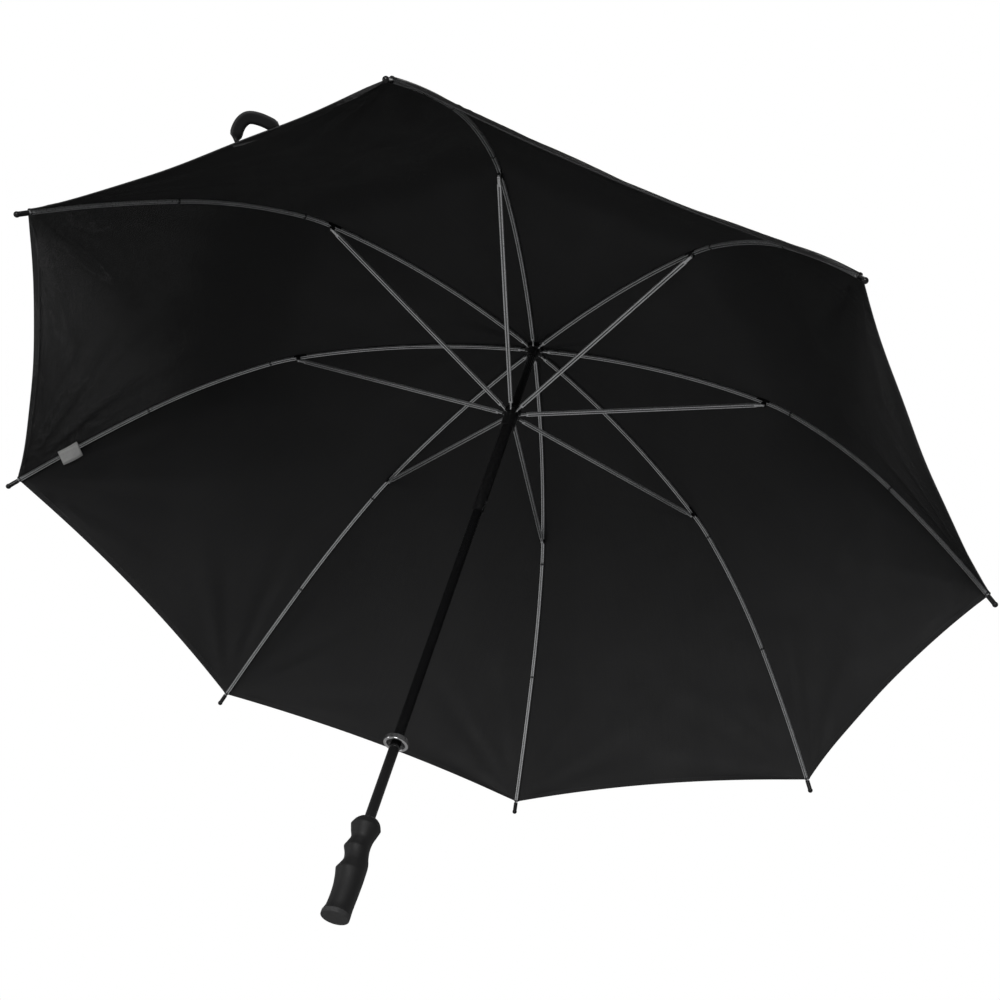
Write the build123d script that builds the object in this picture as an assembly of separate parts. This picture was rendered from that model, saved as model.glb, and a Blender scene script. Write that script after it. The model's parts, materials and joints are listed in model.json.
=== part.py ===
from build123d import *
import math
import os

# Golf umbrella, drawn open. Millimetres, +Z up along the shaft towards the spike.
# The origin is the centre of the handle's end face. Rib n lies at azimuth (n - 1) x 45 degrees.

os.makedirs("parts", exist_ok=True)

# Frame
rib_count = 8
hub_height = 867.0          # rib pivots above the handle's end
pivot_offset = 4.7          # rib and stretcher pivots outside the shaft's face
link_length = 322.0         # hub pivot to joint pivot, and joint pivot to runner pivot
open_slope = 11.65          # degrees below level of the line from hub pivot to joint pivot
fold_angle = 77.0           # how far a rib turns to close

# Ribs
joint_slope = 21.6          # degrees below level of the rib where the stretcher joins it
joint_depth = 5.0           # joint pivot below the rib's centre line
outer_bends = ((42.0, 11.4), (177.0, 16.0), (199.0, 6.5))   # length, turn in degrees
rib_width = 4.2
rib_depth = 3.2
rib_wall = 0.7
rib_groove = 2.0            # width of the channel's hollow
rib_break = (1.5, 2.5)      # inner and outer rib ends from the bracket's upper rivet
stretcher_width = 4.8
stretcher_depth = 3.4
stretcher_wall = 0.75
stretcher_groove = 1.9
stretcher_tongue = 3.45     # width of the lug in the joint bracket
eye_radius = 2.6
eye_reach = 12.0            # length of the flat tongue behind an eye
tongue_thickness = 1.8
wire_radius = 0.6
wire_hole_radius = 0.75
channel_start = 9.0         # a channel begins this far from its eye

# Joint brackets and their rivets
bracket_clearance = 0.15
bracket_wall = 0.7
bracket_reach = (12.0, 6.0)     # along the rib, inwards and outwards of the upper rivet
bracket_ear_radius = 2.9
rivet_radius = 1.0
rivet_clearance = 0.06
lug_wall = 1.2              # stretcher's lug round its rivet
upper_rivet_radius = 0.8
rivet_head = 0.5

# Rib tips
tip_length = 17.0
tip_socket = 4.5
tip_wall = 0.26             # outside the rib's corners
tip_ball_radius = 3.4

# Canopy, rosette, strap and label
canopy_gap = 0.95           # fabric above the joint brackets
canopy_thickness = 0.5
canopy_hole_gap = 1.6       # outside the notch's flange
canopy_margin = 6.0         # fabric corner short of the rib's end
hem_rise = 10.0             # how far the hem curves in between two ribs
rosette_reach = 5.8         # outside the canopy's hole
rosette_thickness = 0.5
strap_azimuth = 163.0
strap_from_tip = 40.0       # along the rib
strap_turn = 35.0           # away from level
strap_width = 13.0
strap_thickness = 1.0
strap_length = 50.0
strap_height = 24.0
strap_leg = 3.0             # thickness of the arch at its feet
strap_gap = 0.6
snap_radius = 5.5
snap_thickness = 1.6
snap_gap = 0.1
label_rib = 3
label_size = (28.0, 24.0, 0.6)
label_place = 80.0          # from the rib's end
label_gap = 1.2

# Shaft
shaft_radius = 5.8
shaft_wall = 0.9
shaft_above_hub = 10.0
shaft_bottom_gap = 3.0      # above the grip's foot
pin_radius = 1.2
stop_pin_reach = 1.8        # the stop pin stands this far out of the shaft
cutter_length = 60.0        # longer than any cross pin

# Notch and runner
flange_reach = 2.1          # outside the pivots
flange_height = 7.0
neck_wall = 1.8
neck_height = 10.0
slot_clearance = 0.3        # each side of a rib's eye
slot_floor_gap = 0.1        # outside the neck
groove_clearance = 0.05     # round the wire ring
slide_clearance = 0.3
sleeve_wall = 1.15
sleeve_length = 177.0       # below the runner pivots
sleeve_seat = 4.0           # sleeve's top end below the runner pivots
crown_wall = 2.35           # outside the sleeve
crown_body_length = 26.0
crown_rim_reach = 0.4
crown_rim_height = 2.0
stop_gap = 0.4
seat_clearance = 0.02

# Catches
catch_thickness = 2.0
catch_length = 18.0
catch_inner = 1.5
catch_reach = 1.35          # outside the sleeve
catch_ramp_depth = 0.3      # the ramp starts this far inside the shaft's face
catch_nose = 3.0
catch_slot_margin = 1.2
catch_slot_clearance = 0.2
catch_window_margin = 1.0
upper_catch_azimuth = 250.0
lower_catch_azimuth = 20.0
notch_height = 18.0         # slot in the sleeve's lower end over the upper catch
notch_gap = 0.4
lower_catch_height = 160.0
spring_thickness = 0.4
spring_gap = 0.2

# Closing ring
ring_clearance = 0.5        # over the runner's rim
ring_wall = 3.5
ring_height = 7.0
ring_place = 210.0          # centre of the ring above the handle's end
ring_round = 1.0

# Handle: height, finger side radius, back radius
grip_front = 107.0          # azimuth of the finger side
grip_sections = (
    (5.0, 14.8, 15.0), (12.0, 12.8, 14.8), (30.0, 12.5, 15.4), (43.0, 14.2, 15.7),
    (51.5, 16.2, 15.6), (57.0, 13.6, 15.5), (63.0, 11.6, 14.9), (70.0, 12.8, 12.9),
    (77.0, 15.9, 11.6), (83.0, 13.6, 11.4), (89.0, 12.0, 12.0), (96.0, 14.4, 13.8),
    (103.0, 16.7, 15.7), (109.0, 13.6, 13.2), (112.0, 10.6, 10.6),
)
grip_flatness = 0.97        # width of the grip across the fingers against its depth
core_wall = 1.2
core_top_wall = 4.0
throat_gap = 0.85           # round the sleeve
throat_clearance = 4.0      # below the sleeve when the umbrella is closed
cap_round = 1.2
cap_stub_gap = 0.2
core_pin_height = 22.0

# Spike
cup_gap = 0.5               # above the rosette
cup_reach = 7.2             # outside the shaft
cup_height = 7.5
cup_top_reach = 1.4
spike_collar_reach = 1.7
spike_collar_height = 3.0
spike_radius = 5.2
spike_length = 66.0         # above the cup
spike_plug_length = 13.0

# Places worked out from the sizes above
rib_step = 360.0 / rib_count
half_step = rib_step / 2
bore_radius = shaft_radius - shaft_wall
pivot_radius = shaft_radius + pivot_offset
flange_radius = pivot_radius + flange_reach
neck_radius = shaft_radius + neck_wall
slot_floor = neck_radius + slot_floor_gap
slot_width = tongue_thickness + 2 * slot_clearance
slide_radius = shaft_radius + slide_clearance
sleeve_radius = slide_radius + sleeve_wall
crown_body_radius = sleeve_radius + crown_wall
crown_rim_radius = crown_body_radius + crown_rim_reach
ring_inner_radius = crown_rim_radius + ring_clearance
ring_outer_radius = ring_inner_radius + ring_wall
throat_radius = sleeve_radius + throat_gap
core_radius = throat_radius + core_wall
catch_front = sleeve_radius + catch_reach
catch_slot_width = catch_thickness + 2 * catch_slot_clearance
catch_window_width = catch_thickness + catch_window_margin
canopy_hole_radius = flange_radius + canopy_hole_gap
rosette_radius = canopy_hole_radius + rosette_reach
canopy_lift = rib_depth / 2 + bracket_clearance + bracket_wall + canopy_gap
tip_radius = math.hypot(rib_width, rib_depth) / 2 + tip_wall
cup_radius = shaft_radius + cup_reach
cup_top_radius = shaft_radius + cup_top_reach
spike_collar_radius = shaft_radius + spike_collar_reach
runner_height = hub_height - 2 * link_length * math.sin(math.radians(open_slope))
closed_slope = open_slope + fold_angle
closed_runner_height = hub_height - 2 * link_length * math.sin(math.radians(closed_slope))
joint_x = pivot_radius + link_length * math.cos(math.radians(open_slope))
joint_z = hub_height - link_length * math.sin(math.radians(open_slope))
rib_joint_x = joint_x + joint_depth * math.sin(math.radians(joint_slope))
rib_joint_z = joint_z + joint_depth * math.cos(math.radians(joint_slope))
inner_chord = math.hypot(rib_joint_x - pivot_radius, hub_height - rib_joint_z)
inner_chord_slope = math.degrees(math.atan2(hub_height - rib_joint_z, rib_joint_x - pivot_radius))
hub_slope = 2 * inner_chord_slope - joint_slope
inner_turn = joint_slope - hub_slope
inner_radius = inner_chord / (2 * math.sin(math.radians(inner_turn / 2)))
inner_length = inner_radius * math.radians(inner_turn)
handle_top = grip_sections[-1][0]
handle_foot = grip_sections[0][0]
sleeve_bottom = runner_height - sleeve_length - sleeve_seat
closed_sleeve_bottom = closed_runner_height - sleeve_length - sleeve_seat
throat_floor = closed_sleeve_bottom - throat_clearance
shaft_bottom = handle_foot + shaft_bottom_gap
cap_radius = max(grip_sections[0][1:])
upper_catch_low = sleeve_bottom + notch_height - notch_gap - catch_length
notch_pin_height = hub_height - flange_height / 2 - neck_height / 2
stop_pin_height = runner_height + neck_height + stop_gap + pin_radius
core_pin_half = math.sqrt(core_radius ** 2 - pin_radius ** 2)
shaft_top = hub_height + shaft_above_hub
rosette_low = hub_height + canopy_lift + canopy_thickness + rosette_thickness
cup_low = rosette_low + rosette_thickness + cup_gap


def advance(x, z, slope, length, turn):
    """End point and slope of an arc that starts at (x, z) and bends down by turn degrees."""
    if abs(turn) < 1e-9:
        run = length
    else:
        run = 2 * length / math.radians(turn) * math.sin(math.radians(turn / 2))
    mid = math.radians(slope + turn / 2)
    return x + run * math.cos(mid), z - run * math.sin(mid), slope + turn


def aside(x, z, slope, offset):
    """The point that lies offset above the line at (x, z)."""
    angle = math.radians(slope)
    return x + offset * math.sin(angle), z + offset * math.cos(angle)


def band(x, z, slope, bends, low, high):
    """Flat face in the rib's upright plane between two offsets of a line made of arcs."""
    stations = [(x, z, slope)]
    middles = []
    for length, turn in bends:
        here = stations[-1]
        middles.append(advance(*here, length / 2, turn / 2))
        stations.append(advance(*here, length, turn))
    edges = []
    for offset in (low, high):
        for start, middle, end in zip(stations, middles, stations[1:]):
            points = [aside(*p, offset) for p in (start, middle, end)]
            edges.append(ThreePointArc(*[Vector(px, 0, pz) for px, pz in points]))
    for station in (stations[0], stations[-1]):
        ends = [Vector(px, 0, pz) for px, pz in (aside(*station, low), aside(*station, high))]
        edges.append(Line(*ends))
    return Face(Wire(edges))


def thick(face, thickness):
    """Solid of a face in the rib's plane, half of it to each side."""
    return extrude(face, amount=thickness / 2, dir=(0, 1, 0), both=True)


def channel(x, z, slope, bends, width, depth, wall, groove):
    """Folded steel channel, open below."""
    outside = thick(band(x, z, slope, bends, -depth / 2, depth / 2), width)
    inside = thick(band(x, z, slope, bends, -depth, depth / 2 - wall), groove)
    return outside - inside


def across(x, z, radius, length):
    """Round bar across the rib's plane."""
    return Pos(x, 0, z) * Rot(90, 0, 0) * Cylinder(radius, length)


def tongue(x, z, slope, length, depth, thickness, eye, hole):
    """Flat eye on a short tongue that leads away from it."""
    strip = Pos(x, 0, z) * Rot(0, slope, 0) * Pos(length / 2, 0, 0) * Box(length, thickness, depth)
    return strip + across(x, z, eye, thickness) - across(x, z, hole, 3 * thickness)


def rib_station(distance):
    """Point and slope on the rib's centre line, counted from the hub pivot."""
    if distance <= inner_length:
        share = distance / inner_length
        return advance(pivot_radius, hub_height, hub_slope, distance, inner_turn * share)
    here = (rib_joint_x, rib_joint_z, joint_slope)
    left = distance - inner_length
    for length, turn in outer_bends:
        if left <= length:
            return advance(*here, left, turn * left / length)
        here = advance(*here, length, turn)
        left -= length
    return here


rib_length = inner_length + sum(length for length, turn in outer_bends)
rib_end = rib_station(rib_length)


def bends_between(start, end):
    """The arcs of the rib's line between two distances from the hub pivot."""
    edges = [0.0, inner_length]
    turns = [inner_turn]
    for length, turn in outer_bends:
        edges.append(edges[-1] + length)
        turns.append(turn)
    bends = []
    for low, high, turn in zip(edges, edges[1:], turns):
        overlap = min(high, end) - max(low, start)
        if overlap > 1e-6:
            bends.append((overlap, turn * overlap / (high - low)))
    return bends


def make_rib_inner():
    start = channel_start
    end = inner_length - rib_break[0]
    eye = tongue(pivot_radius, hub_height, hub_slope, eye_reach, rib_depth,
                 tongue_thickness, eye_radius, wire_hole_radius)
    line = channel(*rib_station(start), bends_between(start, end),
                   rib_width, rib_depth, rib_wall, rib_groove)
    return eye + line


def make_rib_outer():
    start = inner_length + rib_break[1]
    return channel(*rib_station(start), bends_between(start, rib_length),
                   rib_width, rib_depth, rib_wall, rib_groove)


def make_rib_tip():
    """Plastic cap pushed on the rib's end, with a ball nose."""
    body = Cylinder(tip_radius, tip_length - tip_ball_radius,
                    align=(Align.CENTER, Align.CENTER, Align.MIN))
    ball = Pos(0, 0, tip_length - tip_ball_radius) * Sphere(tip_ball_radius)
    fit = 2 * seat_clearance
    socket = Box(rib_depth + fit, rib_width + fit, tip_socket,
                 align=(Align.CENTER, Align.CENTER, Align.MIN))
    x, z, slope = rib_station(rib_length)
    place = Pos(x, 0, z) * Rot(0, 90 + slope, 0) * Pos(0, 0, -tip_socket)
    return place * (body + ball - socket)


def make_bracket():
    """Folded saddle over the rib with two ears, and its two rivets."""
    gap = rib_width / 2 + bracket_clearance
    outer = gap + bracket_wall
    angle = joint_slope
    place = Pos(rib_joint_x, 0, rib_joint_z) * Rot(0, angle, 0)
    low = -rib_depth / 2
    high = rib_depth / 2 + bracket_clearance
    inwards, outwards = bracket_reach
    saddle = Pos(-inwards, 0, low) * Box(inwards + outwards, 2 * outer, high - low + bracket_wall,
                                         align=(Align.MIN, Align.CENTER, Align.MIN))
    ears = Pos(0, 0, -joint_depth) * Rot(90, 0, 0) * Cylinder(bracket_ear_radius, 2 * outer)
    lugs = Pos(0, 0, -joint_depth) * Box(2 * bracket_ear_radius, 2 * outer, joint_depth,
                                         align=(Align.CENTER, Align.CENTER, Align.MIN))
    cut = Pos(0, 0, high) * Box(3 * link_length, 2 * gap, 8 * joint_depth,
                                align=(Align.CENTER, Align.CENTER, Align.MAX))
    window = Pos(-rib_break[0], 0, 0) * Box(outwards + 4 * rib_break[1], 2 * gap, 4 * rib_depth,
                                            align=(Align.MIN, Align.CENTER, Align.CENTER))
    folded = place * (saddle + ears + lugs - cut - window)
    pins = []
    for x, z, radius in ((joint_x, joint_z, rivet_radius),
                         (rib_joint_x, rib_joint_z, upper_rivet_radius)):
        folded -= across(x, z, radius, 4 * outer)
        pin = across(x, z, radius, 2 * outer)
        for side in (-1, 1):
            head = across(x, z, 1.5 * radius, rivet_head)
            pin += Pos(0, side * (outer + rivet_head / 2), 0) * head
        pins.append(pin)
    return [folded, *pins]


def make_stretcher():
    """Straight channel from the runner pivot up to the joint pivot."""
    slope = -open_slope
    x, z = pivot_radius, runner_height
    eye = tongue(x, z, slope, eye_reach, stretcher_depth, tongue_thickness,
                 eye_radius, wire_hole_radius)
    lug_radius = rivet_radius + lug_wall
    joint = tongue(joint_x, joint_z, 180 + slope, eye_reach, 2 * rivet_radius + lug_wall,
                   stretcher_tongue, lug_radius, rivet_radius + rivet_clearance)
    start = advance(x, z, slope, channel_start, 0)
    line = Pos(start[0], 0, start[1]) * Rot(0, slope, 0)
    run = link_length - 2 * channel_start
    box = Box(run, stretcher_width, stretcher_depth, align=(Align.MIN, Align.CENTER, Align.CENTER))
    hollow = Pos(0, 0, -stretcher_wall) * Box(run, stretcher_groove, stretcher_depth,
                                              align=(Align.MIN, Align.CENTER, Align.CENTER))
    return line * (box - hollow) + eye + joint


def make_wire(height):
    return Pos(0, 0, height) * Torus(pivot_radius, wire_radius)


def slotted_flange(height):
    """Disc with a slot for each eye and a groove for the wire ring."""
    disc = Cylinder(flange_radius, flange_height)
    groove_height = 2 * (wire_radius + groove_clearance)
    groove = Cylinder(2 * flange_radius, groove_height)
    groove -= Cylinder(pivot_radius - wire_radius - groove_clearance, groove_height)
    disc -= groove
    for n in range(rib_count):
        slot = Box(flange_radius, slot_width, 2 * flange_height,
                   align=(Align.MIN, Align.CENTER, Align.CENTER))
        disc -= Rot(0, 0, n * rib_step) * Pos(slot_floor, 0, 0) * slot
    return Pos(0, 0, height) * disc


def tube(outer, inner, low, high):
    body = Cylinder(outer, high - low, align=(Align.CENTER, Align.CENTER, Align.MIN))
    if inner > 0:
        body -= Cylinder(inner, 3 * (high - low))
    return Pos(0, 0, low) * body


def make_top_notch():
    body = slotted_flange(hub_height)
    body += tube(neck_radius, 0, hub_height - flange_height / 2 - neck_height, hub_height)
    body -= tube(shaft_radius + seat_clearance, 0, 0, 2 * hub_height)
    return body - Pos(0, 0, notch_pin_height) * Rot(90, 0, 0) * Cylinder(pin_radius, cutter_length)


def make_runner_crown():
    low = runner_height - crown_body_length
    body = slotted_flange(runner_height)
    body += tube(crown_body_radius, 0, low, runner_height - flange_height / 2)
    body += tube(crown_rim_radius, 0, low - crown_rim_height, low)
    body += tube(neck_radius, 0, runner_height, runner_height + neck_height)
    body -= tube(slide_radius, 0, 0, 2 * hub_height)
    seat_low = low - 2 * crown_rim_height
    body -= tube(sleeve_radius + seat_clearance, 0, seat_low, runner_height - sleeve_seat)
    return body


def catch_cut(low, high, width, azimuth):
    """Upright slot through one side of a tube."""
    box = Box(4 * shaft_radius, width, high - low, align=(Align.MIN, Align.CENTER, Align.MIN))
    return Rot(0, 0, azimuth) * Pos(catch_inner, 0, low) * box


def make_runner_sleeve():
    top = runner_height - sleeve_seat
    body = tube(sleeve_radius, slide_radius, sleeve_bottom, top)
    body -= catch_cut(sleeve_bottom - notch_height, sleeve_bottom + notch_height,
                      catch_window_width, upper_catch_azimuth)
    lift = runner_height - closed_runner_height
    low = lower_catch_height + lift - catch_slot_margin
    high = lower_catch_height + catch_length + lift + catch_slot_margin
    return body - catch_cut(low, high, catch_window_width, lower_catch_azimuth)


def catch_blade(low, shoulder_up):
    """Spring catch with a square shoulder at one end and a ramp at the other."""
    high = low + catch_length
    ramp = shaft_radius - catch_ramp_depth
    outline = [(catch_inner, low), (ramp, low), (catch_front, high - catch_nose),
               (catch_front, high), (catch_inner, high)]
    if not shoulder_up:
        outline = [(x, low + high - z) for x, z in outline]
    face = Face(Wire.make_polygon([Vector(x, 0, z) for x, z in outline]))
    return thick(face, catch_thickness)


def leaf_spring(low):
    """Bowed leaf behind a catch."""
    high = low + catch_length
    back = math.sqrt(bore_radius ** 2 - (catch_thickness / 2) ** 2) - spring_gap
    reach = catch_inner - spring_gap - spring_thickness
    middle = (low + high) / 2
    rim = [Vector(-back, 0, low), Vector(reach, 0, middle), Vector(-back, 0, high)]
    face_front = [p + Vector(spring_thickness, 0, 0) for p in rim]
    edges = [ThreePointArc(*rim), ThreePointArc(*face_front)]
    edges += [Line(a, b) for a, b in zip((rim[0], rim[2]), (face_front[0], face_front[2]))]
    return thick(Face(Wire(edges)), catch_thickness)


def make_shaft():
    body = tube(shaft_radius, bore_radius, shaft_bottom, shaft_top)
    for low, azimuth in ((upper_catch_low, upper_catch_azimuth),
                         (lower_catch_height, lower_catch_azimuth)):
        high = low + catch_length
        body -= catch_cut(low - catch_slot_margin, high + catch_slot_margin,
                          catch_slot_width, azimuth)
    for height in (notch_pin_height, stop_pin_height, core_pin_height):
        body -= Pos(0, 0, height) * Rot(90, 0, 0) * Cylinder(pin_radius, cutter_length)
    return body


def cross_pin(height, half_length):
    return Pos(0, 0, height) * Rot(90, 0, 0) * Cylinder(pin_radius, 2 * half_length)


def make_gore():
    """One fabric panel: a bent strip between two ribs, with a hem that curves in."""
    steps = 15
    first = canopy_hole_radius - pivot_radius
    last = rib_length - canopy_margin
    squeeze = math.cos(math.radians(half_step))
    edges = []
    ends = []
    for offset in (canopy_lift, canopy_lift + canopy_thickness):
        points = []
        for k in range(steps):
            x, z = aside(*rib_station(first + (last - first) * k / (steps - 1)), offset)
            points.append(Vector(x * squeeze, 0, z))
        edges.append(Spline(*points))
        ends.append((points[0], points[-1]))
    edges += [Line(a, b) for a, b in zip(*ends)]
    reach = rib_end[0] + 2 * tip_length
    strip = thick(Face(Wire(edges)), 2 * reach)
    far = reach * squeeze
    side = far * math.tan(math.radians(half_step))
    wedge = Face(Wire.make_polygon([Vector(0, 0, 0), Vector(far, side, 0), Vector(far, -side, 0)]))
    strip &= extrude(wedge, amount=2 * hub_height, dir=(0, 0, 1))
    x, z, slope = rib_station(last)
    half_chord = x * math.sin(math.radians(half_step))
    cut_radius = (half_chord ** 2 + hem_rise ** 2) / (2 * hem_rise)
    fall = math.degrees(math.atan2(math.sin(math.radians(slope)),
                                   math.cos(math.radians(slope)) * squeeze))
    hem = Pos(x * squeeze, 0, z) * Rot(0, fall, 0) * Pos(cut_radius - hem_rise, 0, 0)
    return strip - hem * Cylinder(cut_radius, cutter_length)


def canopy_place(azimuth, distance, gap):
    """Place on the canopy's outer face: x down the slope, z outwards."""
    gore = math.floor(azimuth / rib_step)
    centre = (gore + 0.5) * rib_step
    x, z, slope = rib_station(distance)
    squeeze = math.cos(math.radians(half_step))
    fall = math.degrees(math.atan2(math.sin(math.radians(slope)),
                                   math.cos(math.radians(slope)) * squeeze))
    x, z = aside(x, z, slope, canopy_lift + canopy_thickness + gap)
    sideways = x * squeeze * math.tan(math.radians(azimuth - centre))
    return Rot(0, 0, centre) * Pos(x * squeeze, sideways, z) * Rot(0, fall, 0)


strap_place = (canopy_place(strap_azimuth, rib_length - strap_from_tip, strap_gap)
               * Rot(0, 0, strap_turn))


def make_strap():
    """Tape loop sewn flat to the canopy, standing off it in a low arch."""
    half = strap_length / 2
    rise = strap_height - strap_thickness
    outside = [Vector(0, -half, strap_thickness), Vector(0, 0, strap_height),
               Vector(0, half, strap_thickness)]
    inside = [Vector(0, -half + strap_leg, strap_thickness), Vector(0, 0, rise),
              Vector(0, half - strap_leg, strap_thickness)]
    edges = [ThreePointArc(*outside), ThreePointArc(*inside)]
    edges += [Line(outside[0], inside[0]), Line(outside[2], inside[2])]
    arch = extrude(Face(Wire(edges)), amount=strap_width / 2, dir=(1, 0, 0), both=True)
    foot = Box(strap_width, strap_length, strap_thickness,
               align=(Align.CENTER, Align.CENTER, Align.MIN))
    return strap_place * (arch + foot)


def make_snap():
    """Press stud on top of the strap's arch."""
    stud = Cylinder(snap_radius, snap_thickness, align=(Align.CENTER, Align.CENTER, Align.MIN))
    return strap_place * Pos(0, 0, strap_height + snap_gap) * stud


def make_label():
    """Folded care label hung under the rib."""
    x, z, slope = rib_station(rib_length - label_place)
    x, z = aside(x, z, slope, -rib_depth / 2 - label_gap)
    flag = Box(label_size[0], label_size[1], label_size[2],
               align=(Align.CENTER, Align.CENTER, Align.MAX))
    return Rot(0, 0, (label_rib - 1) * rib_step) * Pos(x, 0, z) * Rot(0, slope, 0) * flag


def make_rosette():
    return tube(rosette_radius, slide_radius, rosette_low, rosette_low + rosette_thickness)


def make_cup():
    cone = Cone(cup_radius, cup_top_radius, cup_height,
                align=(Align.CENTER, Align.CENTER, Align.MIN))
    return Pos(0, 0, cup_low) * cone - tube(slide_radius, 0, 0, 2 * hub_height)


def make_spike():
    base = cup_low + cup_height
    body = tube(bore_radius - seat_clearance, 0, base - spike_plug_length, base)
    body += tube(spike_collar_radius, 0, base, base + spike_collar_height)
    body += tube(spike_radius, 0, base, base + spike_length - spike_radius)
    return body + Pos(0, 0, base + spike_length - spike_radius) * Sphere(spike_radius)


def make_grip():
    """Soft grip with finger hollows on one side and a flared top."""
    rings = []
    for height, front, back in grip_sections:
        depth = (front + back) / 2
        ring = Plane((front / 2 - back / 2, 0, height)) * Ellipse(depth, depth * grip_flatness)
        rings.append(ring.face())
    body = Rot(0, 0, grip_front) * loft(rings, ruled=True)
    body -= tube(core_radius, 0, -handle_top, handle_top - core_top_wall)
    return body - tube(throat_radius, 0, -handle_top, 2 * handle_top)


def make_core():
    """Hard tube in the grip: a socket for the shaft, and a throat for the sleeve above it."""
    body = tube(core_radius, 0, handle_foot, handle_top - core_top_wall)
    body -= tube(shaft_radius + seat_clearance, 0, -handle_top, 2 * handle_top)
    body -= tube(throat_radius, 0, throat_floor, 2 * handle_top)
    return body - Pos(0, 0, core_pin_height) * Rot(90, 0, 0) * Cylinder(pin_radius, cutter_length)


def make_cap():
    disc = tube(cap_radius, 0, 0, handle_foot)
    disc = fillet(disc.edges().group_by(Axis.Z)[0], cap_round)
    return disc + tube(shaft_radius - cap_stub_gap, 0, handle_foot, shaft_bottom - cap_stub_gap)


def make_ring():
    band_body = tube(ring_outer_radius, ring_inner_radius,
                     ring_place - ring_height / 2, ring_place + ring_height / 2)
    return fillet(band_body.edges().filter_by(GeomType.CIRCLE), ring_round)


def write(name, pieces):
    """One STEP file for a node, with its pieces as separate solids."""
    pieces = pieces if isinstance(pieces, list) else [pieces]
    solids = [solid for piece in pieces for solid in piece.solids()]
    shape = solids[0] if len(solids) == 1 else Compound(children=solids)
    shape.label = name
    export_step(shape, f"parts/{name}.step")


rib_inner = make_rib_inner()
rib_outer = make_rib_outer()
rib_tip = make_rib_tip()
stretcher = make_stretcher()
bracket = make_bracket()
for n in range(rib_count):
    turned = Rot(0, 0, n * rib_step)
    write(f"rib_inner_{n + 1}", turned * rib_inner)
    write(f"rib_outer_{n + 1}", turned * rib_outer)
    write(f"rib_tip_{n + 1}", turned * rib_tip)
    write(f"stretcher_{n + 1}", turned * stretcher)
    write(f"joint_bracket_{n + 1}", [turned * piece for piece in bracket])

gore = make_gore()
write("canopy_cover", [Rot(0, 0, (n + 0.5) * rib_step) * gore for n in range(rib_count)])
write("canopy_rosette", make_rosette())
write("closing_strap", [make_strap(), make_snap()])
write("care_label", make_label())

write("shaft_tube", make_shaft())
write("top_notch", make_top_notch())
write("notch_wire", make_wire(hub_height))
write("shaft_pins", [cross_pin(stop_pin_height, shaft_radius + stop_pin_reach),
                     cross_pin(notch_pin_height, neck_radius),
                     cross_pin(core_pin_height, core_pin_half)])
write("runner_crown", make_runner_crown())
write("runner_sleeve", make_runner_sleeve())
write("runner_wire", make_wire(runner_height))
write("upper_catch", Rot(0, 0, upper_catch_azimuth) * catch_blade(upper_catch_low, True))
write("lower_catch", Rot(0, 0, lower_catch_azimuth) * catch_blade(lower_catch_height, False))
write("catch_springs", [Rot(0, 0, upper_catch_azimuth) * leaf_spring(upper_catch_low),
                        Rot(0, 0, lower_catch_azimuth) * leaf_spring(lower_catch_height)])
write("closing_ring", make_ring())
write("ferrule_cup", make_cup())
write("ferrule_spike", make_spike())
write("handle_grip", make_grip())
write("handle_core", make_core())
write("handle_cap", make_cap())
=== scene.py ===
"""Golf umbrella, open: cloth, seams, threads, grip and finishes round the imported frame.

Metres, +Z up the shaft. Rib n lies at azimuth (n - 1) x 45 degrees.
"""

import json
import math

import bmesh
import bpy
from mathutils import Euler, Matrix, Vector


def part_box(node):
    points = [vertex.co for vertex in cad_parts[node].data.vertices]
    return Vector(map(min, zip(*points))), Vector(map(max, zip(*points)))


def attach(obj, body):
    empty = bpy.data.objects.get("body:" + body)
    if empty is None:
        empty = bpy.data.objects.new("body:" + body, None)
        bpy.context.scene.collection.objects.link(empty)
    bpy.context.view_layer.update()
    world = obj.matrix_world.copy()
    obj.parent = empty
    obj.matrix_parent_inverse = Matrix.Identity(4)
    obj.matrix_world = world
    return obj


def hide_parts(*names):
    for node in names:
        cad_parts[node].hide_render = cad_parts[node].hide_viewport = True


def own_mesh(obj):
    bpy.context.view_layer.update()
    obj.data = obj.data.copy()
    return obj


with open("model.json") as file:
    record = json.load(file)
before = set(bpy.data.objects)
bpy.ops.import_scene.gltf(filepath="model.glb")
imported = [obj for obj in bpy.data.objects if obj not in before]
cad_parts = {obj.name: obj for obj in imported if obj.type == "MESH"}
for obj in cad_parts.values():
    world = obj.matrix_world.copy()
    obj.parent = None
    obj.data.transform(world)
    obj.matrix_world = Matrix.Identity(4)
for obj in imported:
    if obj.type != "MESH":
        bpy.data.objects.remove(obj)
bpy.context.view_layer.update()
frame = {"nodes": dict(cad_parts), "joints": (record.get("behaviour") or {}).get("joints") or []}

# Ribs and cloth
rib_count = 8
joints = {joint["name"]: joint for joint in frame["joints"]}
hub = Vector(joints["fold_1"]["pos_m"])
elbow = Vector(joints["rib_flex_1"]["pos_m"])
elbow_slope = 21.6
outer_bends = ((0.042, 11.4), (0.177, 16.0), (0.199, 6.5))
cloth_lift = 0.0034
cloth_thickness = 0.0005
cloth_start = 0.0037
cloth_margin = 0.006
hem_rise = 0.010
hem_width = 0.0075
hem_fold = 0.0006
panel_sag = 0.008
panel_columns = 48
panel_rows = 80
# A pleat stands off its rib's line by this many degrees.
# The sides are -1 towards the rib before and 1 towards the next.
fold_tilt = {"inner": {-1: 13.0, 1: 9.5}, "outer": {-1: 20.5, 1: 18.0}}
seam_width = 0.008
seam_height = 0.0009
seam_rows = 40
stitch_from_edge = 0.0058
stitch_from_seam_edge = 0.001
rosette_hole = 0.0062
rosette_thickness = 0.0004
rosette_rings = 8
rosette_segments = 96
rosette_ripple = 0.0004
rosette_notch = 0.955

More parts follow.
